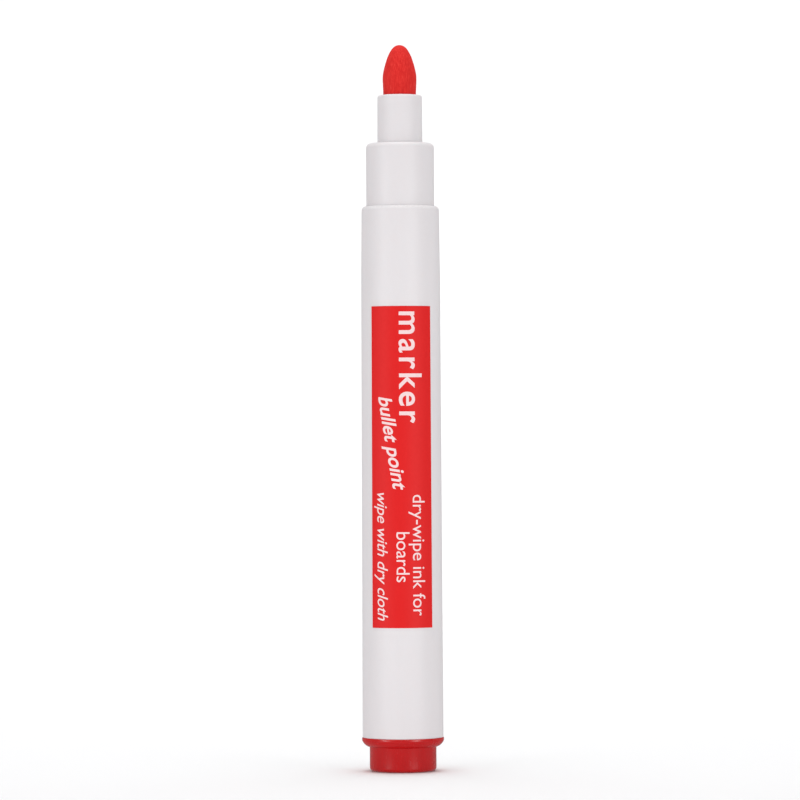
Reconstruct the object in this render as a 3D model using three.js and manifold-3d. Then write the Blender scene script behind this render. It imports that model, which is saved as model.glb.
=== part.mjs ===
// A whiteboard marker standing on its end plug, nib up, without its cap.
// Millimetres, +Z along the marker's axis, origin at the middle of the end plug's flat base.
// The printed panel faces -Y.
import * as THREE from "three";
import { mergeVertices } from "three/addons/utils/BufferGeometryUtils.js";
import Module from "manifold-3d";

// Lengths along the axis, from the base up.
const stubHeight = 4.3;
const flangeThickness = 1.6;
const barrelLength = 92.7;
const neckLength = 11.0;
const collarLength = 8.4;
const nibExposed = 8.8;

// The ink reservoir, a fibre core wrapped in film. Its width sets the width of everything round it.
const fibreRadius = 5.15;
const filmGap = 0.02;
const filmThickness = 0.08;
const reservoirClearance = 0.1;

// The nib. Its shank sets the width of the collar.
const shankRadius = 2.85;
const shankChamfer = 0.4;
const bulgeHeight = 0.15;
const bulgeRise = 3.1;
const tipTaper = 1.2;
const tipBluntness = 0.42;
const nibClearance = 0.03;
const airGap = 0.2;
const tailRadius = 2.2;
const tailEndRadius = 0.7;
const tailEndRound = 0.3;
const tailClearance = 0.2;
const pierceDepth = 5.5;
const coneAboveReservoir = 1.0;

// The nib holder: a collar and neck outside, a nib sleeve inside, a skirt pressed into the barrel.
const collarWall = 0.83;
const collarDraft = 0.05;
const collarRound = 0.4;
const mouthChamfer = 0.15;
const neckWall = 1.0;
const neckRound = 0.8;
const neckRoof = 1.2;
const skirtWall = 0.575;
const skirtLength = 10.0;
const skirtLeadIn = 0.3;
const skirtHold = 5.0;
const sleeveWall = 0.8;
const sleeveDepth = 12.4;
const ledgeThickness = 1.0;
const ledgeClearance = 0.2;
const webCount = 4;
const webThickness = 0.8;
const gripRibCount = 6;
const gripRibWidth = 0.5;
const gripRibInset = 1.5;

// The barrel, a tube that widens a little towards the rear.
const pressClearance = 0.035;
const barrelFrontWall = 0.79;
const barrelRearWall = 0.85;
const frontTaper = 0.13;
const frontTaperLength = 12.6;
const rearTaper = 0.17;
const lipRound = 0.75;
const rearChamfer = 0.25;
const barrelRibCount = 6;
const barrelRibWidth = 0.8;
const barrelRibGap = 0.4;

// The end plug: a posting stub, a flange, and a spigot that closes the barrel.
const sealClearance = 0.04;
const sealRelief = 0.14;
const sealCount = 2;
const sealHeight = 0.8;
const sealFlank = 0.2;
const sealPitch = 2.6;
const sealStart = 2.0;
const spigotLength = 9.0;
const spigotLeadIn = 0.35;
const seatHeight = 3.6;
const plugWall = 0.9;
const plugFloor = 1.2;
const vaneThickness = 0.8;
const vaneCount = 4;
const flangeOverhang = 0.1;
const flangeRound = 1.69;
const flangeRoundReach = 1.15;
const postingEase = 0.105;
const baseRound = 0.7;

// The printed panel, a thin film on the barrel.
const panelStart = 19.3;
const panelLength = 55.8;
const panelArc = 11.56;
const panelGap = 0.02;
const panelThickness = 0.06;

// Shared by all pieces: play where one rests on another, how deep a joined rib runs into its wall,
// and how finely curves are divided.
const restGap = 0.05;
const joinDepth = 0.35;
const turnSteps = 48;
const roundSteps = 5;
const tipSteps = 10;

// Radii that follow.
const filmInner = fibreRadius + filmGap;
const filmRadius = filmInner + filmThickness;
const cupRadius = filmRadius + reservoirClearance;
const neckRadius = cupRadius + skirtWall;
const neckInner = neckRadius - neckWall;
const nibBore = shankRadius + airGap;
const collarRadius = nibBore + collarWall;
const sleeveRadius = nibBore + sleeveWall;
const ledgeRadius = tailRadius + ledgeClearance;
const barrelFrontBore = neckRadius + pressClearance;
const barrelFrontRadius = barrelFrontBore + barrelFrontWall;
const barrelWaistRadius = barrelFrontRadius + frontTaper;
const barrelRearRadius = barrelWaistRadius + rearTaper;
const barrelRearBore = barrelRearRadius - barrelRearWall;
const sealRadius = barrelRearBore - sealClearance;
const spigotRadius = sealRadius - sealRelief;
const flangeRadius = barrelRearRadius + flangeOverhang;
const postingRadius = neckRadius - postingEase;
const plugBore = postingRadius - plugWall;

// Heights that follow.
const barrelRear = stubHeight + flangeThickness;
const barrelFront = barrelRear + barrelLength;
const barrelWaist = barrelFront - frontTaperLength;
const neckTop = barrelFront + neckLength;
const neckRoofBottom = neckTop - neckRoof;
const collarTop = neckTop + collarLength;
const bulgeTop = collarTop + bulgeRise;
const nibTip = collarTop + nibExposed;
const skirtBottom = barrelFront - skirtLength;
const reservoirTop = skirtBottom + skirtHold;
const reservoirStop = reservoirTop + restGap;
const sleeveBottom = neckTop - sleeveDepth;
const ledgeTop = sleeveBottom + ledgeThickness;
const shankBottom = ledgeTop + restGap;
const tailEnd = reservoirTop - pierceDepth;
const coneTop = reservoirTop + coneAboveReservoir;
const spigotTop = barrelRear + spigotLength;
const seatTop = barrelRear + seatHeight;
const reservoirBottom = seatTop + restGap;

const wasm = await Module();
wasm.setup();

const whitePlastic = new THREE.MeshStandardMaterial({ color: "#e9e5e7", roughness: 0.42, metalness: 0 });
const redPlastic = new THREE.MeshStandardMaterial({ color: "#be2322", roughness: 0.35, metalness: 0 });
const redFelt = new THREE.MeshStandardMaterial({ color: "#de3532", roughness: 0.85, metalness: 0 });
const inkedFibre = new THREE.MeshStandardMaterial({ color: "#b3252c", roughness: 0.95, metalness: 0 });
const clearFilm = new THREE.MeshStandardMaterial({ color: "#e7dfe2", roughness: 0.2, metalness: 0 });
const redPrint = new THREE.MeshStandardMaterial({ color: "#e62d2b", roughness: 0.45, metalness: 0 });

const point = (radius, height) => new THREE.Vector2(radius, height);

// Points on an arc in the profile plane, anticlockwise, from one angle to another in degrees.
function arc(centreRadius, centreHeight, size, fromDegrees, toDegrees) {
  const points = [];
  for (let i = 0; i <= roundSteps; i += 1) {
    const degrees = THREE.MathUtils.lerp(fromDegrees, toDegrees, i / roundSteps);
    const angle = THREE.MathUtils.degToRad(degrees);
    points.push(point(centreRadius + size * Math.cos(angle), centreHeight + size * Math.sin(angle)));
  }
  return points;
}

// A piece turned about the axis, from a profile that starts and ends on the axis.
function turned(profile) {
  return new THREE.LatheGeometry(profile, turnSteps).rotateX(Math.PI / 2);
}

// A turned piece with a hole right through it: up the outside, down the inside, and closed.
function turnedRing(profile) {
  return turned([...profile, profile[0].clone()]);
}

function solidOf(geometry) {
  const bare = geometry.clone();
  bare.deleteAttribute("normal");
  bare.deleteAttribute("uv");
  const merged = mergeVertices(bare);
  const mesh = new wasm.Mesh({
    numProp: 3,
    vertProperties: merged.attributes.position.array,
    triVerts: new Uint32Array(merged.index.array),
  });
  return new wasm.Manifold(mesh);
}

function geometryOf(solid) {
  const mesh = solid.getMesh();
  const geometry = new THREE.BufferGeometry();
  geometry.setAttribute("position", new THREE.BufferAttribute(mesh.vertProperties, mesh.numProp));
  geometry.setIndex(new THREE.BufferAttribute(mesh.triVerts, 1));
  geometry.computeVertexNormals();
  return geometry;
}

// Upright ribs standing on radii, evenly spaced round the axis, as one solid.
function ribsAround({ count, width, inner, outer, bottom, top }) {
  const ribs = [];
  for (let i = 0; i < count; i += 1) {
    const box = new THREE.BoxGeometry(outer - inner, width, top - bottom);
    box.translate((inner + outer) / 2, 0, (bottom + top) / 2);
    box.rotateZ((i * 2 * Math.PI) / count);
    ribs.push(solidOf(box));
  }
  return ribs.reduce((joined, next) => joined.add(next));
}

// The outside of the barrel from the rear up to the lip, moved out by an offset.
function barrelSide(offset) {
  return [
    point(barrelRearRadius + offset, barrelRear),
    point(barrelWaistRadius + offset, barrelWaist),
    point(barrelFrontRadius + offset, barrelFront - lipRound),
  ];
}

// The barrel is open at both ends. Six long ribs centre the reservoir and stop the nib holder.
function makeBarrel() {
  const lip = arc(barrelFrontRadius - lipRound, barrelFront - lipRound, lipRound, 0, 90);
  const tube = turnedRing([
    ...barrelSide(0),
    ...lip.slice(1),
    point(barrelFrontBore, barrelFront),
    point(barrelFrontBore, skirtBottom),
    point(barrelRearBore, spigotTop),
    point(barrelRearBore, barrelRear + rearChamfer),
    point(barrelRearBore + rearChamfer, barrelRear),
  ]);
  const ribBottom = spigotTop + barrelRibGap;
  const ribTop = skirtBottom - restGap;
  const ribs = ribsAround({
    count: barrelRibCount,
    width: barrelRibWidth,
    inner: cupRadius,
    outer: flangeRadius,
    bottom: ribBottom,
    top: ribTop,
  });
  const midWall = turned([
    point(0, ribBottom),
    point(barrelRearBore + joinDepth, ribBottom),
    point(barrelFrontBore + joinDepth, ribTop),
    point(0, ribTop),
  ]);
  return geometryOf(solidOf(tube).add(ribs.intersect(solidOf(midWall))));
}

// The nib holder grips the nib's shank between ribs that leave air grooves, stops it on a ledge at
// the foot of the sleeve, and stops the reservoir on four webs between sleeve and neck.
function makeNibHolder() {
  const shell = turnedRing([
    point(neckRadius - skirtLeadIn, skirtBottom),
    point(neckRadius, skirtBottom + skirtLeadIn),
    ...arc(neckRadius - neckRound, neckTop - neckRound, neckRound, 0, 90),
    point(collarRadius + collarDraft, neckTop),
    ...arc(collarRadius - collarRound, collarTop - collarRound, collarRound, 0, 90),
    point(nibBore + mouthChamfer, collarTop),
    point(nibBore, collarTop - mouthChamfer),
    point(nibBore, ledgeTop),
    point(ledgeRadius, ledgeTop),
    point(ledgeRadius, sleeveBottom),
    point(sleeveRadius, sleeveBottom),
    point(sleeveRadius, neckRoofBottom),
    point(neckInner, neckRoofBottom),
    point(neckInner, reservoirStop),
    point(cupRadius, reservoirStop),
    point(cupRadius, skirtBottom),
  ]);
  const webs = ribsAround({
    count: webCount,
    width: webThickness,
    inner: sleeveRadius - joinDepth,
    outer: neckInner + joinDepth,
    bottom: reservoirStop,
    top: neckRoofBottom + joinDepth,
  });
  const gripRibs = ribsAround({
    count: gripRibCount,
    width: gripRibWidth,
    inner: shankRadius + nibClearance,
    outer: nibBore + joinDepth,
    bottom: ledgeTop - joinDepth,
    top: collarTop - gripRibInset,
  });
  return geometryOf(solidOf(shell).add(webs).add(gripRibs));
}

// The nib: a cone that pierces the reservoir, a tail, a shank that swells a little, a bullet tip.
function makeNib() {
  const bulgeRadius = shankRadius + bulgeHeight;
  const tip = [];
  for (let i = 0; i < tipSteps; i += 1) {
    const share = 1 - (1 - i / tipSteps) ** 2;
    const radius = bulgeRadius * (1 - share ** tipTaper) ** tipBluntness;
    tip.push(point(radius, THREE.MathUtils.lerp(bulgeTop, nibTip, share)));
  }
  return turned([
    point(0, tailEnd),
    point(tailEndRadius - tailEndRound, tailEnd),
    point(tailEndRadius, tailEnd + tailEndRound),
    point(tailRadius, coneTop),
    point(tailRadius, shankBottom),
    point(shankRadius, shankBottom + shankChamfer),
    point(shankRadius, collarTop),
    ...tip,
    point(0, nibTip),
  ]);
}

// The fibre core, with the hollow that the nib's cone presses into its front end.
function makeReservoirCore() {
  return turned([
    point(0, reservoirBottom),
    point(fibreRadius, reservoirBottom),
    point(fibreRadius, reservoirTop),
    point(tailRadius + tailClearance, reservoirTop),
    point(tailEndRadius + tailClearance, tailEnd),
    point(tailEndRadius, tailEnd - tailClearance),
    point(0, tailEnd - tailClearance),
  ]);
}

// The film wrapped round the fibre core, open at both ends.
function makeReservoirFilm() {
  return turnedRing([
    point(filmRadius, reservoirBottom),
    point(filmRadius, reservoirTop),
    point(filmInner, reservoirTop),
    point(filmInner, reservoirBottom),
  ]);
}

// The end plug. The cap is posted on its stub, and two seal rings hold its spigot in the barrel.
function makeEndPlug() {
  const seals = [];
  for (let i = 0; i < sealCount; i += 1) {
    const bottom = barrelRear + sealStart + i * sealPitch;
    seals.push(
      point(spigotRadius, bottom),
      point(sealRadius, bottom + sealFlank),
      point(sealRadius, bottom + sealHeight - sealFlank),
      point(spigotRadius, bottom + sealHeight),
    );
  }
  const halfSweep = Math.asin(flangeRoundReach / (Math.SQRT2 * flangeRound));
  const firstDegrees = -45 - THREE.MathUtils.radToDeg(halfSweep);
  const lastDegrees = -45 + THREE.MathUtils.radToDeg(halfSweep);
  const flangeOffset = flangeRound * Math.cos(Math.PI / 4 - halfSweep);
  const shell = turned([
    point(0, 0),
    ...arc(postingRadius - baseRound, baseRound, baseRound, -90, 0),
    point(postingRadius, stubHeight),
    ...arc(flangeRadius - flangeOffset, stubHeight + flangeOffset, flangeRound, firstDegrees, lastDegrees),
    point(flangeRadius, barrelRear),
    point(spigotRadius, barrelRear),
    ...seals,
    point(spigotRadius, spigotTop - spigotLeadIn),
    point(spigotRadius - spigotLeadIn, spigotTop),
    point(cupRadius, spigotTop),
    point(cupRadius, seatTop),
    point(plugBore, seatTop),
    point(plugBore, plugFloor),
    point(0, plugFloor),
  ]);
  const vanes = ribsAround({
    count: vaneCount,
    width: vaneThickness,
    inner: 0,
    outer: plugBore + joinDepth,
    bottom: plugFloor - joinDepth,
    top: seatTop,
  });
  return geometryOf(solidOf(shell).add(vanes));
}

// The printed panel lies on the front of the barrel and follows its taper.
function makePrintedPanel() {
  const outside = barrelSide(panelGap + panelThickness);
  const inside = barrelSide(panelGap).reverse();
  const wrap = turnedRing([...outside, ...inside]);
  const halfAngle = panelArc / 2 / barrelRearRadius;
  const reach = 2 * flangeRadius;
  const sector = new THREE.Shape([
    point(0, 0),
    point(-reach * Math.sin(halfAngle), -reach * Math.cos(halfAngle)),
    point(reach * Math.sin(halfAngle), -reach * Math.cos(halfAngle)),
  ]);
  const cutter = new THREE.ExtrudeGeometry(sector, { depth: panelLength, bevelEnabled: false });
  cutter.translate(0, 0, barrelRear + panelStart);
  return geometryOf(solidOf(wrap).intersect(solidOf(cutter)));
}

const marker = new THREE.Group();

function addPiece(name, geometry, material) {
  const piece = new THREE.Mesh(geometry, material);
  piece.name = name;
  marker.add(piece);
}

addPiece("end_plug", makeEndPlug(), redPlastic);
addPiece("reservoir_core", makeReservoirCore(), inkedFibre);
addPiece("reservoir_film", makeReservoirFilm(), clearFilm);
addPiece("barrel", makeBarrel(), whitePlastic);
addPiece("printed_panel", makePrintedPanel(), redPrint);
addPiece("nib_holder", makeNibHolder(), whitePlastic);
addPiece("nib", makeNib(), redFelt);

export default marker;
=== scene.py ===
import math

import bmesh
import bpy
from mathutils import Matrix, Vector, noise


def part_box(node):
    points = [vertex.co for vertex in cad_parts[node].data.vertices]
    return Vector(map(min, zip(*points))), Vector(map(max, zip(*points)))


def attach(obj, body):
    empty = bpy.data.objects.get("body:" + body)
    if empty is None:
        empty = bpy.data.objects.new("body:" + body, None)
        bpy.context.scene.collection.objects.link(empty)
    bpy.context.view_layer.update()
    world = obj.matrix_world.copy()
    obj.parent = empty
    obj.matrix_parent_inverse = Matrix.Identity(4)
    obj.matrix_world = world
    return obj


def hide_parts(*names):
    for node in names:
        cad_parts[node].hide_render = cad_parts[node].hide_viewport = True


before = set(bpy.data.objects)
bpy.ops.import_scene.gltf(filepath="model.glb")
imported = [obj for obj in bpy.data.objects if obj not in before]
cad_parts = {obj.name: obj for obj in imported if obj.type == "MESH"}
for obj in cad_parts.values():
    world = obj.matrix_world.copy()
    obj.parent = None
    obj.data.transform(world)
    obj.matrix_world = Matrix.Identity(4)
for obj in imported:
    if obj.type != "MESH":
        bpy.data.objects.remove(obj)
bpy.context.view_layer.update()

scene = bpy.context.scene
scene.view_settings.view_transform = "Standard"
mm = 0.001
fullTurn = 2 * math.pi
frontAngle = -math.pi / 2  # the printed side faces -Y
weldGap = 0.0005 * mm  # points nearer to each other than this become one
restGap = 0.05 * mm  # between pieces that rest on each other
ribJoin = 0.35 * mm  # how far a rib runs into the wall that carries it


def heights(node):
    # the lowest and highest point that the frame gives a node, in metres
    lowest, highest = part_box(node)
    return lowest.z, highest.z


def radiusOf(node):
    lowest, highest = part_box(node)
    return (highest.x - lowest.x) / 2


barrelRear, barrelFront = heights("barrel")
holderBottom, collarTop = heights("nib_holder")
tailEnd, nibTip = heights("nib")
coreBottom, coreTop = heights("reservoir_core")
spigotTop = heights("end_plug")[1]
panelBottom, panelTop = heights("printed_panel")
barrelRadius = radiusOf("barrel")
neckRadius = radiusOf("nib_holder")
bulgeRadius = radiusOf("nib")
coreRadius = radiusOf("reservoir_core")
filmRadius = radiusOf("reservoir_film")
flangeRadius = radiusOf("end_plug")
cupRadius = filmRadius + 0.1 * mm  # of the sockets and ribs that hold the reservoir
print("frame read: barrel", round(barrelRadius / mm, 2), "mm radius, tip at", round(nibTip / mm, 1), "mm")


def inMetres(sizes, *plain):
    # turns a piece's millimetres into metres, apart from counts, shares and whatever else plain names
    return {key: value if key in plain else value * mm for key, value in sizes.items()}


def ringMesh(outline, rounds=None, closed=False, steps=192):
    # spins an outline of (radius, height) round Z; rounds gives size, steps and fullness for the corners
    # to round, by their place in the outline
    bm = bmesh.new()
    verts = [bm.verts.new((radius, 0, height)) for radius, height in outline]
    for first, second in zip(verts, verts[1:]):
        bm.edges.new((first, second))
    if closed:
        bm.edges.new((verts[-1], verts[0]))
    for place, (size, segments, *fullness) in (rounds or {}).items():
        bmesh.ops.bevel(bm, geom=[verts[place]], offset=size, offset_type="OFFSET", segments=segments,
                        profile=fullness[0] if fullness else 0.5, affect="VERTICES", material=-1)
    bmesh.ops.spin(bm, geom=bm.verts[:] + bm.edges[:], cent=(0, 0, 0), axis=(0, 0, 1),
                   angle=fullTurn, steps=steps, use_merge=True)
    bmesh.ops.remove_doubles(bm, verts=bm.verts[:], dist=weldGap)
    bmesh.ops.recalc_face_normals(bm, faces=bm.faces[:])
    return bm


def asPiece(name, bm, material, body, nodes=(), sharp=35):
    # a piece of the visual model, which rides on a body of the frame and stands in for some of its nodes
    mesh = bpy.data.meshes.new(name)
    bm.to_mesh(mesh)
    bm.free()
    mesh.shade_smooth()
    mesh.set_sharp_from_angle(angle=math.radians(sharp))
    mesh.materials.append(material)
    piece = bpy.data.objects.new(name, mesh)
    scene.collection.objects.link(piece)
    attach(piece, body)
    if nodes:
        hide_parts(*nodes)


def ribBars(count, width, inner, outer, bottom, top):
    # upright bars that stand on radii, evenly spaced round the axis
    bm = bmesh.new()
    for i in range(count):
        made = bmesh.ops.create_cube(bm, size=1)["verts"]
        bmesh.ops.scale(bm, verts=made, vec=(outer - inner, width, top - bottom))
        bmesh.ops.translate(bm, verts=made, vec=((inner + outer) / 2, 0, (bottom + top) / 2))
        turn = Matrix.Rotation(i * fullTurn / count, 3, "Z")
        bmesh.ops.rotate(bm, verts=made, cent=(0, 0, 0), matrix=turn)
    return bm


def meshOf(thing):
    # an object's finished mesh, with its modifiers applied
    bpy.context.view_layer.update()
    return bpy.data.meshes.new_from_object(thing.evaluated_get(bpy.context.evaluated_depsgraph_get()))


def joined(bm, bars):
    # the ribs become one solid with the wall that they run into
    things = []
    for part in (bm, bars):
        mesh = bpy.data.meshes.new("part")
        part.to_mesh(mesh)
        part.free()
        thing = bpy.data.objects.new("part", mesh)
        scene.collection.objects.link(thing)
        things.append(thing)
    modifier = things[0].modifiers.new("join", "BOOLEAN")
    modifier.operation = "UNION"
    modifier.solver = "EXACT"
    modifier.use_self = True
    modifier.object = things[1]
    whole = meshOf(things[0])
    result = bmesh.new()
    result.from_mesh(whole)
    for thing in things:
        mesh = thing.data
        bpy.data.objects.remove(thing)
        bpy.data.meshes.remove(mesh)
    bpy.data.meshes.remove(whole)
    return result


class Value:
    # a shader socket, so that sums on it add Math nodes
    def __init__(self, paint, socket):
        self.paint = paint
        self.socket = socket

    def math(self, operation, first, second):
        return self.paint.node("ShaderNodeMath", {"operation": operation}, {0: first, 1: second})

    def __add__(self, other):
        return self.math("ADD", self, other)

    def __radd__(self, other):
        return self.math("ADD", other, self)

    def __sub__(self, other):
        return self.math("SUBTRACT", self, other)

    def __rsub__(self, other):
        return self.math("SUBTRACT", other, self)

    def __mul__(self, other):
        return self.math("MULTIPLY", self, other)

    def __rmul__(self, other):
        return self.math("MULTIPLY", other, self)


class Paint:
    # one material: its Principled shader, and a method for every other node
    def __init__(self, name, constants):
        self.material = bpy.data.materials.new(name)
        self.material.use_nodes = True
        self.tree = self.material.node_tree
        self.shader = self.tree.nodes["Principled BSDF"]
        for socket, value in constants.items():
            self.shader.inputs[socket].default_value = value
        self.place = self.node("ShaderNodeTexCoord", {}, {}, "Object")

    def node(self, kind, settings=None, sockets=None, out=0):
        made = self.tree.nodes.new(kind)
        for key, value in (settings or {}).items():
            if key == "stops":
                self.setStops(made.color_ramp, value)
            else:
                setattr(made, key, value)
        for key, value in (sockets or {}).items():
            self.feed(made.inputs[key], value)
        return Value(self, made.outputs[out])

    def setStops(self, ramp, stops):
        while len(ramp.elements) < len(stops):
            ramp.elements.new(0.5)
        for element, (position, shade) in zip(ramp.elements, stops):
            element.position = position
            element.color = (shade, shade, shade, 1)

    def feed(self, socket, value):
        if isinstance(value, Value):
            self.tree.links.new(value.socket, socket)
        else:
            socket.default_value = value

    def stretched(self, along):
        # places with their heights squeezed, so that what is drawn on them runs along the marker
        return self.node("ShaderNodeMapping", {}, {"Vector": self.place, "Scale": (1, 1, along)})

    def clouds(self, scale, detail=3.0, roughness=0.55, where=None, distortion=0.0):
        # noise with its features 1/scale metres across
        sockets = {"Vector": where or self.place, "Scale": scale, "Detail": detail, "Roughness": roughness,
                   "Distortion": distortion}
        return self.node("ShaderNodeTexNoise", {}, sockets, "Fac")

    def ramp(self, value, *stops):
        return self.node("ShaderNodeValToRGB", {"stops": stops}, {"Fac": value})

    def mixed(self, factor, first, second):
        return self.node("ShaderNodeMix", {"data_type": "RGBA"}, {0: factor, 6: first, 7: second}, 2)

    def bump(self, height, distance, strength=1.0, under=None):
        sockets = {"Height": height, "Distance": distance, "Strength": strength}
        if under:
            sockets["Normal"] = under
        return self.node("ShaderNodeBump", {}, sockets)

    def finish(self, **sockets):
        for name, value in sockets.items():
            self.feed(self.shader.inputs[name.replace("_", " ")], value)
        return self.material


def heightOf(paint):
    # the height of a point on the piece, in metres
    return paint.node("ShaderNodeSeparateXYZ", {}, {0: paint.place}, 2)


def above(paint, height, level):
    # 0 below a level and 1 above it, with a soft change between
    soft = 0.25 * mm
    return paint.node("ShaderNodeMapRange", {"interpolation_type": "SMOOTHSTEP"},
                      {0: height, 1: level - soft, 2: level + soft})


whiteLook = {"colour": (0.735, 0.708, 0.722, 1), "shade": (0.69, 0.657, 0.668, 1),
             "roughness": 0.46, "shine": 0.35, "scatter": 0.12}
redLook = {"colour": (0.53, 0.0030, 0.0045, 1), "shade": (0.43, 0.0022, 0.0036, 1),
           "roughness": 0.25, "shine": 0.42, "scatter": 0.05}
printLook = {"colour": (0.72, 0.0090, 0.0090, 1), "shade": (0.64, 0.0070, 0.0075, 1), "roughness": 0.55}
wordLook = {"colour": (0.86, 0.66, 0.665, 1), "shade": (0.81, 0.61, 0.615, 1), "roughness": 0.50}
feltLook = {"colour": (0.73, 0.032, 0.026, 1), "shade": (0.60, 0.014, 0.012, 1),
            "pale": (0.78, 0.11, 0.10, 1), "along": 0.16, "scale": 5200, "depth": 0.03 * mm}
fibreLook = {"colour": (0.58, 0.026, 0.030, 1), "shade": (0.36, 0.010, 0.013, 1),
             "pale": (0.80, 0.26, 0.28, 1), "along": 0.05, "scale": 6500, "depth": 0.05 * mm}
# the film's crease colour is painted shade, darker and redder than the film itself
filmLook = {"colour": (0.90, 0.66, 0.68, 1), "creaseShade": (0.84, 0.46, 0.48, 1),
            "roughness": 0.14, "alpha": 0.30}


def mouldedPlastic(name, look, edges):
    # satin moulded plastic: flow marks along the piece, a fine grain, scratches, and edges rubbed paler
    paint = Paint(name, {"IOR": 1.49, "Specular IOR Level": look["shine"],
                         "Subsurface Weight": look["scatter"], "Subsurface Scale": 0.8 * mm,
                         "Subsurface Radius": (1.0, 0.75, 0.7)})
    flow = paint.clouds(260, 2.0, 0.5, paint.stretched(0.12))
    mottle = paint.clouds(1400, 3.0, 0.6)
    grain = paint.clouds(11000, 2.0, 0.6)
    scratches = paint.clouds(5200, 1.0, 0.4, paint.stretched(0.035))
    worn = paint.ramp(mottle, (0.50, 0.0), (0.62, 1.0))
    scratchMask = paint.ramp(scratches, (0.66, 0.0), (0.72, 1.0)) * worn
    height = heightOf(paint)
    rubbed = 0.0
    for low, high in edges:
        rubbed = above(paint, height, low) * (1 - above(paint, height, high)) + rubbed
    rubbed = rubbed * paint.ramp(paint.clouds(2600, 3.0, 0.6), (0.44, 0.0), (0.60, 1.0))
    colour = paint.mixed(flow * 0.6 + mottle * 0.35, look["colour"], look["shade"])
    lighter = tuple(min(1, c * 1.12 + 0.02) for c in look["colour"][:3]) + (1,)
    colour = paint.mixed(rubbed * 0.35, colour, lighter)
    roughness = look["roughness"] - 0.05 + mottle * 0.07 + flow * 0.05 + scratchMask * 0.12 + rubbed * 0.12
    normal = paint.bump(grain, 0.002 * mm, 0.6, paint.bump(flow, 0.012 * mm, 0.4))
    return paint.finish(Base_Color=colour, Roughness=roughness, Normal=normal)


def printedInk(name, look):
    # screen-printed ink: a little mottled, with pinholes and a soft sheen
    paint = Paint(name, {"IOR": 1.5, "Specular IOR Level": 0.22})
    mottle = paint.clouds(1700, 4.0, 0.6)
    streaks = paint.clouds(700, 2.0, 0.5, paint.stretched(0.2))
    grain = paint.clouds(14000, 2.0, 0.5)
    colour = paint.mixed(mottle * 0.55 + streaks * 0.3, look["colour"], look["shade"])
    roughness = look["roughness"] - 0.04 + mottle * 0.10
    normal = paint.bump(grain, 0.003 * mm, 0.6, paint.bump(mottle, 0.006 * mm, 0.5))
    return paint.finish(Base_Color=colour, Roughness=roughness, Normal=normal)


def feltFibre(name, look):
    # pressed fibres that run along the piece, with paler ones among them, and painted shade darkening the
    # pores
    along = look["along"]
    scale = look["scale"]
    paint = Paint(name, {"IOR": 1.4, "Specular IOR Level": 0.25, "Sheen Weight": 0.02,
                         "Sheen Roughness": 0.5, "Sheen Tint": look["pale"]})
    strands = paint.clouds(scale, 3.0, 0.65, paint.stretched(along), 0.15)
    tufts = paint.clouds(scale * 0.28, 3.0, 0.6, paint.stretched(along * 3))
    pores = paint.clouds(scale * 2.2, 2.0, 0.7, paint.stretched(along * 2.5))
    colour = paint.mixed(paint.ramp(strands, (0.36, 0.0), (0.66, 1.0)), look["shade"], look["colour"])
    paleMask = paint.ramp(strands, (0.60, 0.0), (0.74, 1.0)) * paint.ramp(tufts, (0.46, 0.0), (0.60, 1.0))
    colour = paint.mixed(paleMask * 0.55, colour, look["pale"])
    # painted shade: the pores, which are the pits of the bump, are coloured darker
    colour = paint.mixed(paint.ramp(pores, (0.30, 1.0), (0.42, 0.0)) * 0.5, colour, look["shade"])
    roughness = 0.66 + strands * 0.25
    normal = paint.bump(strands + pores * 0.4, look["depth"], 0.8)
    return paint.finish(Base_Color=colour, Roughness=roughness, Normal=normal)


def milkyFilm(name, look):
    # thin wrap: clear enough to show the inked fibres, with crinkles that catch the light, and painted
    # shade that darkens the film in the crinkles' creases
    paint = Paint(name, {"IOR": 1.5, "Alpha": look["alpha"]})
    crinkle = paint.clouds(420, 4.0, 0.55, paint.stretched(0.35), 0.4)
    dust = paint.clouds(3000, 3.0, 0.6)
    # painted shade: the film's colour turns darker where the crinkle's bump is lowest
    colour = paint.mixed(crinkle, look["creaseShade"], look["colour"])
    roughness = look["roughness"] + dust * 0.16
    normal = paint.bump(crinkle, 0.05 * mm, 0.7)
    return paint.finish(Base_Color=colour, Roughness=roughness, Normal=normal)


# rubbed are the barrel's lip, the collar's mouth and the rim of the plug's base
whitePlastic = mouldedPlastic("whitePlastic", whiteLook,
                              [(barrelFront - 0.5 * mm, barrelFront), (collarTop - 0.3 * mm, collarTop)])
redPlastic = mouldedPlastic("redPlastic", redLook, [(0, 0.35 * mm)])
redPrint = printedInk("redPrint", printLook)
whitePrint = printedInk("whitePrint", wordLook)
redFelt = feltFibre("redFelt", feltLook)
inkedFibre = feltFibre("inkedFibre", fibreLook)
clearFilm = milkyFilm("clearFilm", filmLook)
print("materials made")

barrel = inMetres({
    "rearWall": 0.85, "frontTaper": 0.13, "rearTaper": 0.17, "taperLength": 12.6,
    "rearRound": 0.14, "lip": 0.75, "boreRound": 0.02, "mouth": 0.22,
    "pressGap": 0.012,  # between the bore and the nib holder
    "skirt": 10.0,  # how far the nib holder reaches in
    "ribs": 6, "ribWidth": 0.8, "ribGap": 0.4}, "ribs")


def barrelOutside():
    # (radius, height) of the outside at the rear, at the waist and at the front lip
    waist = barrelRadius - barrel["rearTaper"]
    return [(barrelRadius, barrelRear), (waist, barrelFront - barrel["taperLength"]),
            (waist - barrel["frontTaper"], barrelFront)]


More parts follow.
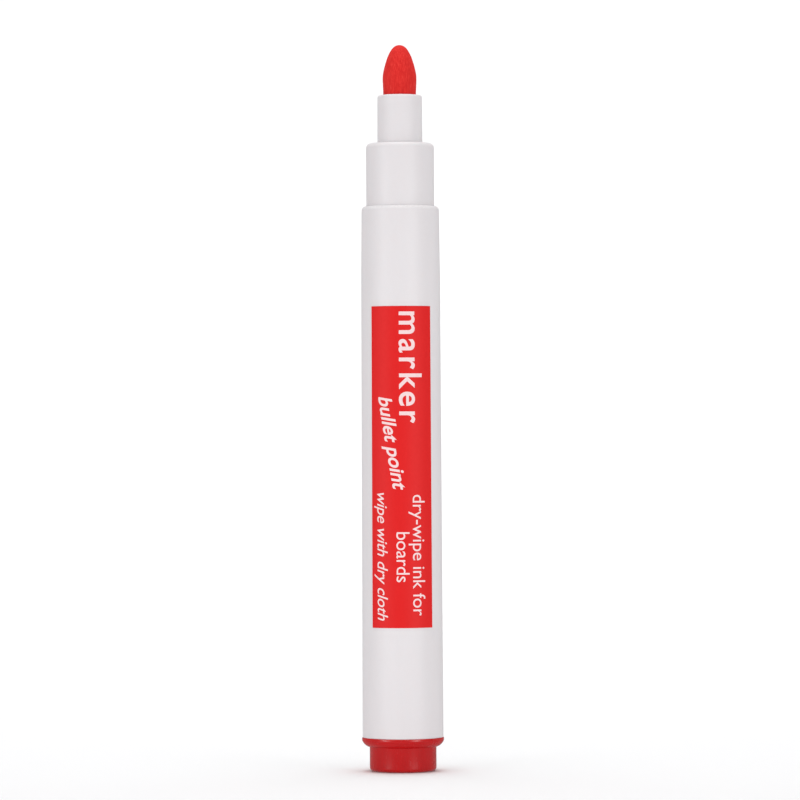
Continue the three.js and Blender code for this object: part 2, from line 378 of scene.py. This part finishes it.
def makeBarrel():
    rearBore = barrelRadius - barrel["rearWall"]
    frontBore = neckRadius + barrel["pressGap"]
    outline = barrelOutside() + [(frontBore, barrelFront), (frontBore, barrelFront - barrel["skirt"]),
                                 (rearBore, spigotTop), (rearBore, barrelRear)]
    rounds = {0: (barrel["rearRound"], 3), 2: (barrel["lip"], 8), 3: (barrel["boreRound"], 2),
              6: (barrel["mouth"], 3)}
    tube = ringMesh(outline, rounds, closed=True)
    bars = ribBars(barrel["ribs"], barrel["ribWidth"], cupRadius, frontBore + ribJoin,
                   spigotTop + barrel["ribGap"], barrelFront - barrel["skirt"] - restGap)
    asPiece("barrelTube", joined(tube, bars), whitePlastic, "barrel", ["barrel"])


makeBarrel()
print("barrel made")


holder = inMetres({
    "rearRound": 0.3, "neckRound": 0.8, "neckWall": 1.0, "roof": 1.2,
    "collarLength": 8.4, "collarWall": 0.83, "collarRound": 0.4, "collarDraft": 0.05, "mouthRound": 0.15,
    "foot": 0.14,  # the fillet between neck and collar
    "airGap": 0.2,  # between the collar and the nib's shank
    "bulge": 0.15,  # how far the nib swells outside the collar
    "sleeveWall": 0.8, "sleeveDepth": 12.4, "sleeveRound": 0.1, "innerRound": 0.2,
    "ledge": 1.0, "ledgeRadius": 2.4,  # the ledge at the sleeve's foot, on which the nib's shank stands
    "webs": 4, "webWidth": 0.8,
    "grips": 6, "gripWidth": 0.5, "gripGap": 0.03, "gripInset": 1.5}, "webs", "grips")
shankRadius = bulgeRadius - holder["bulge"]
neckTop = collarTop - holder["collarLength"]
ledgeTop = neckTop - holder["sleeveDepth"] + holder["ledge"]


def makeHolder():
    bore = shankRadius + holder["airGap"]
    collar = bore + holder["collarWall"]
    sleeve = bore + holder["sleeveWall"]
    sleeveBottom = ledgeTop - holder["ledge"]
    roof = neckTop - holder["roof"]
    neckBore = neckRadius - holder["neckWall"]
    stop = coreTop + restGap
    outline = [(neckRadius, holderBottom), (neckRadius, neckTop), (collar + holder["collarDraft"], neckTop),
               (collar, collarTop), (bore, collarTop), (bore, ledgeTop), (holder["ledgeRadius"], ledgeTop),
               (holder["ledgeRadius"], sleeveBottom), (sleeve, sleeveBottom), (sleeve, roof),
               (neckBore, roof), (neckBore, stop), (cupRadius, stop), (cupRadius, holderBottom)]
    rounds = {0: (holder["rearRound"], 3), 1: (holder["neckRound"], 8), 2: (holder["foot"], 4),
              3: (holder["collarRound"], 6), 4: (holder["mouthRound"], 4), 8: (holder["sleeveRound"], 2),
              9: (holder["innerRound"], 3), 10: (holder["innerRound"], 3)}
    shell = ringMesh(outline, rounds, closed=True)
    webs = ribBars(holder["webs"], holder["webWidth"], sleeve - ribJoin, neckBore + ribJoin,
                   stop, roof + ribJoin)
    grips = ribBars(holder["grips"], holder["gripWidth"], shankRadius + holder["gripGap"], bore + ribJoin,
                    ledgeTop - ribJoin, collarTop - holder["gripInset"])
    whole = joined(joined(shell, webs), grips)
    asPiece("nibHolder", whole, whitePlastic, "barrel", ["nib_holder"])


makeHolder()
print("nib holder made")


nib = inMetres({
    "bulgeRise": 3.1,  # from the collar up to where the nib is widest
    "taper": 1.2, "bluntness": 0.42,  # the shape of the tip above that
    "swellSteps": 16, "tipSteps": 44,
    "soften": 0.5, "softenPasses": 12,  # how far from the widest place it is smoothed, and how often
    "chamfer": 0.4, "shankRound": 0.2,
    "tailRadius": 2.2, "tailRound": 0.6, "tailEndRadius": 0.7, "tailEndRound": 0.3, "coneTop": 1.0,
    "lint": 0.02, "lintSize": 0.35, "lintSquash": 0.35,  # depth, width, and the share of heights it sees
    "lintEnd": 0.02,  # how far below the tip it stops
}, "taper", "bluntness", "swellSteps", "tipSteps", "softenPasses", "lintSquash")


def makeNib():
    bulgeTop = collarTop + nib["bulgeRise"]
    tail = nib["tailRadius"]
    shankStart = ledgeTop + restGap
    outline = [(0, tailEnd), (nib["tailEndRadius"], tailEnd), (tail, coreTop + nib["coneTop"]),
               (tail, shankStart), (shankRadius, shankStart + nib["chamfer"])]
    for i in range(nib["swellSteps"]):
        share = i / nib["swellSteps"]
        outline.append((shankRadius + (bulgeRadius - shankRadius) * share,
                        collarTop + (bulgeTop - collarTop) * share))
    for i in range(nib["tipSteps"]):
        share = 1 - (1 - i / nib["tipSteps"]) ** 2
        radius = bulgeRadius * (1 - share ** nib["taper"]) ** nib["bluntness"]
        outline.append((radius, bulgeTop + (nibTip - bulgeTop) * share))
    outline.append((0, nibTip))
    rounds = {1: (nib["tailEndRound"], 4), 2: (nib["tailRound"], 3), 4: (nib["shankRound"], 3)}
    bm = ringMesh(outline, rounds, steps=160)
    widest = [vert for vert in bm.verts if abs(vert.co.z - bulgeTop) < nib["soften"]]
    for i in range(nib["softenPasses"]):
        bmesh.ops.smooth_vert(bm, verts=widest, factor=0.5, use_axis_x=True, use_axis_y=True,
                              use_axis_z=False)
    for vert in bm.verts:  # pressed fibres leave the surface slightly uneven
        if vert.co.z < collarTop or vert.co.z > nibTip - nib["lintEnd"]:
            continue
        spot = Vector((vert.co.x, vert.co.y, vert.co.z * nib["lintSquash"])) / nib["lintSize"]
        depth = (noise.fractal(spot, 0.8, 2.0, 3) - 0.6) * nib["lint"]
        out = Vector((vert.co.x, vert.co.y, 0))
        if out.length > 0:
            vert.co += out.normalized() * min(0.0, depth)
    asPiece("bulletNib", bm, redFelt, "nib", ["nib"], 50)


makeNib()
print("nib made")


reservoir = inMetres({
    "hollowGap": 0.2,  # round the nib's tail
    "wrapGap": 0.02,  # between the rod and its wrap
    "endRound": 0.12})


def makeReservoir():
    gap = reservoir["hollowGap"]
    tail = nib["tailRadius"] + gap
    tip = nib["tailEndRadius"]
    outline = [(0, coreBottom), (coreRadius, coreBottom), (coreRadius, coreTop), (tail, coreTop),
               (tip + gap, tailEnd), (tip, tailEnd - gap), (0, tailEnd - gap)]
    soft = reservoir["endRound"]
    core = ringMesh(outline, {1: (soft, 3), 2: (soft, 3), 3: (soft, 3)}, steps=128)
    asPiece("fibreCore", core, inkedFibre, "plug", ["reservoir_core"], 50)
    inner = coreRadius + reservoir["wrapGap"]
    outline = [(filmRadius, coreBottom), (filmRadius, coreTop), (inner, coreTop), (inner, coreBottom)]
    film = ringMesh(outline, closed=True, steps=128)
    asPiece("filmWrap", film, clearFilm, "plug", ["reservoir_film"], 50)


makeReservoir()
print("reservoir made")


plug = inMetres({
    "stub": 4.3, "postingEase": 0.105,  # the stub's length, and how much slimmer than the neck it is
    "baseRound": 0.7, "flangeRound": 1.15, "flangeFullness": 0.395, "cornerRound": 0.1,
    "seamRound": 0.18,  # where the flange meets the barrel
    "wall": 0.9, "floor": 1.2, "leadIn": 0.35,
    "seat": 3.6,  # from the barrel's end up to where the reservoir stands
    "seals": 2, "sealStart": 2.0, "sealPitch": 2.6, "sealHeight": 0.8, "sealFlank": 0.2, "sealRound": 0.1,
    "sealRelief": 0.14, "sealGap": 0.04,  # how far the rings stand out, and their gap to the bore
    "vanes": 4, "vaneWidth": 0.8}, "flangeFullness", "seals", "vanes")


def makePlug():
    posting = neckRadius - plug["postingEase"]
    seal = barrelRadius - barrel["rearWall"] - plug["sealGap"]
    spigot = seal - plug["sealRelief"]
    bore = posting - plug["wall"]
    seat = barrelRear + plug["seat"]
    outline = [(0, 0), (posting, 0), (posting, plug["stub"]), (flangeRadius, plug["stub"]),
               (flangeRadius, barrelRear), (spigot, barrelRear)]
    rounds = {1: (plug["baseRound"], 10), 2: (plug["cornerRound"], 3),
              3: (plug["flangeRound"], 12, plug["flangeFullness"]), 4: (plug["seamRound"], 4)}
    for i in range(plug["seals"]):
        bottom = barrelRear + plug["sealStart"] + i * plug["sealPitch"]
        top = bottom + plug["sealHeight"]
        outline += [(spigot, bottom), (seal, bottom + plug["sealFlank"]), (seal, top - plug["sealFlank"]),
                    (spigot, top)]
        rounds[len(outline) - 3] = (plug["sealRound"], 3)
        rounds[len(outline) - 2] = (plug["sealRound"], 3)
    outline += [(spigot, spigotTop - plug["leadIn"]), (spigot - plug["leadIn"], spigotTop),
                (cupRadius, spigotTop), (cupRadius, seat), (bore, seat), (bore, plug["floor"]),
                (0, plug["floor"])]
    shell = ringMesh(outline, rounds)
    vanes = ribBars(plug["vanes"], plug["vaneWidth"], 0, bore + ribJoin, plug["floor"] - ribJoin, seat)
    asPiece("postingPlug", joined(shell, vanes), redPlastic, "plug", ["end_plug"])


makePlug()
print("end plug made")


panel = inMetres({"arc": 11.56, "gap": 0.02, "thickness": 0.06, "steps": 64}, "steps")
letters = inMetres({"lift": 0.004, "thickness": 0.008, "strip": 0.25})
words = [  # round is the baseline's place round the barrel; it, size, start and bold are in millimetres
    {"text": "marker", "size": 5.75, "start": 80.3, "round": -0.3, "bold": 0.07,
     "spacing": 1.18, "lean": 0, "climb": 0},
    {"text": "bullet point", "size": 3.5, "start": 65.4, "round": -4.2, "bold": 0.06,
     "spacing": 1.0, "lean": 0.35, "climb": 9.7},
    {"text": "dry-wipe ink for", "size": 3.3, "start": 48.4, "round": 1.9, "bold": 0,
     "spacing": 0.98, "lean": 0, "climb": 0},
    {"text": "boards", "size": 3.3, "start": 42.0, "round": -0.95, "bold": 0,
     "spacing": 0.98, "lean": 0, "climb": 0},
    {"text": "wipe with dry cloth", "size": 2.9, "start": 49.0, "round": -4.5, "bold": 0.01,
     "spacing": 0.98, "lean": 0.3, "climb": 0},
]
words = [inMetres(line, "text", "spacing", "lean", "climb") for line in words]


def sideRadius(height):
    # the barrel's outside radius at a height
    rear, waist, front = barrelOutside()
    lower, upper = (rear, waist) if height < waist[1] else (waist, front)
    share = (height - lower[1]) / (upper[1] - lower[1])
    return lower[0] + (upper[0] - lower[0]) * share


def makePanel():
    inner = panel["gap"]
    outer = inner + panel["thickness"]
    half = panel["arc"] / 2 / barrelRadius
    bm = bmesh.new()
    corners = [(sideRadius(panelBottom) + outer, panelBottom), (sideRadius(panelTop) + outer, panelTop),
               (sideRadius(panelTop) + inner, panelTop), (sideRadius(panelBottom) + inner, panelBottom)]
    face = bm.faces.new([bm.verts.new((radius, 0, height)) for radius, height in corners])
    turn = Matrix.Rotation(frontAngle - half, 3, "Z")
    bmesh.ops.rotate(bm, verts=bm.verts[:], cent=(0, 0, 0), matrix=turn)
    bmesh.ops.spin(bm, geom=[face] + face.verts[:] + face.edges[:], cent=(0, 0, 0), axis=(0, 0, 1),
                   angle=2 * half, steps=panel["steps"])
    bmesh.ops.recalc_face_normals(bm, faces=bm.faces[:])
    asPiece("printedPanel", bm, redPrint, "barrel", ["printed_panel"])


def flatWords(line):
    # the line of words as a flat mesh in the plane, its start at the origin
    curve = bpy.data.curves.new("words", "FONT")
    curve.body = line["text"]
    curve.size = line["size"]
    curve.space_character = line["spacing"]
    curve.shear = line["lean"]
    curve.offset = line["bold"]
    curve.resolution_u = 6
    carrier = bpy.data.objects.new("words", curve)
    scene.collection.objects.link(carrier)
    mesh = meshOf(carrier)
    bpy.data.objects.remove(carrier)
    bpy.data.curves.remove(curve)
    return mesh


def makeWords():
    bm = bmesh.new()
    for line in words:
        mesh = flatWords(line)
        made = bmesh.new()
        made.from_mesh(mesh)
        bpy.data.meshes.remove(mesh)
        bmesh.ops.remove_doubles(made, verts=made.verts[:], dist=weldGap)
        place = (Matrix.Translation((line["round"], line["start"], 0))
                 @ Matrix.Rotation(math.radians(line["climb"] - 90), 4, "Z"))
        bmesh.ops.transform(made, matrix=place, verts=made.verts[:])
        reach = panel["arc"] / 2
        strip = -reach
        while strip < reach:  # cut into strips, so that the letters bend round the barrel
            bmesh.ops.bisect_plane(made, geom=made.verts[:] + made.edges[:] + made.faces[:],
                                   dist=0.0001 * mm, plane_co=(strip, 0, 0), plane_no=(1, 0, 0))
            strip += letters["strip"]
        mesh = bpy.data.meshes.new("line")
        made.to_mesh(mesh)
        made.free()
        bm.from_mesh(mesh)
        bpy.data.meshes.remove(mesh)
    for face in bm.faces:
        if face.normal.z < 0:
            face.normal_flip()
    raised = bmesh.ops.extrude_face_region(bm, geom=bm.faces[:])["geom"]
    upper = {item for item in raised if isinstance(item, bmesh.types.BMVert)}
    base = panel["gap"] + panel["thickness"] + letters["lift"]
    for vert in bm.verts:
        across, height = vert.co.x, vert.co.y
        radius = sideRadius(height)
        angle = frontAngle + across / radius
        radius += base + (letters["thickness"] if vert in upper else 0)
        vert.co = (radius * math.cos(angle), radius * math.sin(angle), height)
    bmesh.ops.recalc_face_normals(bm, faces=bm.faces[:])
    asPiece("genericWords", bm, whitePrint, "barrel")


makePanel()
makeWords()
print("panel and words made")


camera = {"distance": 0.77, "side": -0.00025, "height": 0.059,
          "aim": 0.06475,  # the height that it looks at
          "lens": 198.3, "roll": 0.307}  # in millimetres and degrees, the rest in metres
lights = [  # in metres; the softboxes stand so near the floor that they would draw hard edges across it
    {"name": "softLeft", "at": (-0.46, -0.38, 0.05), "aim": (0, 0, 0.05), "size": (0.15, 0.09),
     "watts": 1.04, "lightsFloor": False},
    {"name": "softRight", "at": (0.37, -0.48, 0.05), "aim": (0, 0, 0.05), "size": (0.15, 0.09),
     "watts": 1.17, "lightsFloor": False},
    {"name": "softTop", "at": (0, 0, 1.5), "aim": (0, 0, 0), "size": (1.2, 1.2),
     "watts": 19.5, "lightsFloor": True},
    {"name": "wallWash", "at": (0, 1.0, 1.9), "aim": (0, 3.1, 0.5), "size": (1.2, 0.6),
     "watts": 34.0, "lightsFloor": True},
]
studio = {"radius": 3.4, "wall": 2.4, "cove": 2.1, "sky": 0.335,
          "floor": (0.86, 0.86, 0.865, 1), "tooth": (0.847, 0.847, 0.852, 1)}


def makeCamera():
    data = bpy.data.cameras.new("camera")
    data.lens = camera["lens"]
    data.clip_start = 0.01
    data.clip_end = 20
    eye = bpy.data.objects.new("camera", data)
    scene.collection.objects.link(eye)
    tilt = math.atan2(camera["aim"] - camera["height"], camera["distance"])
    eye.matrix_world = (Matrix.Translation((camera["side"], -camera["distance"], camera["height"]))
                        @ Matrix.Rotation(math.radians(camera["roll"]), 4, "Y")
                        @ Matrix.Rotation(math.pi / 2 + tilt, 4, "X"))
    scene.camera = eye


def makeLights(floor):
    unlit = bpy.data.collections.new("unlitBySoftboxes")  # what they light is everything but this
    unlit.objects.link(floor)
    unlit.collection_objects[0].light_linking.link_state = "EXCLUDE"
    for light in lights:
        data = bpy.data.lights.new(light["name"], "AREA")
        data.shape = "RECTANGLE"
        data.size, data.size_y = light["size"]
        data.energy = light["watts"]
        lamp = bpy.data.objects.new(light["name"], data)
        scene.collection.objects.link(lamp)
        lamp.location = light["at"]
        back = Vector(light["at"]) - Vector(light["aim"])
        lamp.rotation_euler = back.to_track_quat("Z", "Y").to_euler()
        lamp.visible_camera = False
        if not light["lightsFloor"]:
            lamp.light_linking.receiver_collection = unlit
    world = bpy.data.worlds.new("studioWorld")
    world.use_nodes = True
    sky = world.node_tree.nodes["Background"]
    sky.inputs["Color"].default_value = (1, 1, 1, 1)
    sky.inputs["Strength"].default_value = studio["sky"]
    scene.world = world


def makeFloor():
    # a round floor that curves up into a wall, so that every view has the same pale ground
    outline = [(0, 0), (studio["radius"], 0), (studio["radius"], studio["wall"])]
    bm = ringMesh(outline, {1: (studio["cove"], 12)}, steps=96)
    for face in bm.faces:
        if face.normal.z < -0.01 or face.normal.dot(face.calc_center_median()) > 0.01:
            face.normal_flip()
    mesh = bpy.data.meshes.new("paperFloor")
    bm.to_mesh(mesh)
    bm.free()
    mesh.shade_smooth()
    paint = Paint("palePaper", {"Roughness": 0.8})
    tooth = paint.clouds(900, 3.0, 0.6)
    paint.finish(Base_Color=paint.mixed(tooth, studio["floor"], studio["tooth"]),
                 Normal=paint.bump(tooth, 0.01 * mm, 0.3))
    mesh.materials.append(paint.material)
    floor = bpy.data.objects.new("paperFloor", mesh)
    scene.collection.objects.link(floor)
    floor.visible_glossy = False  # keeps the plastic's edges from washing out
    return floor


makeCamera()
makeLights(makeFloor())
print("studio made")
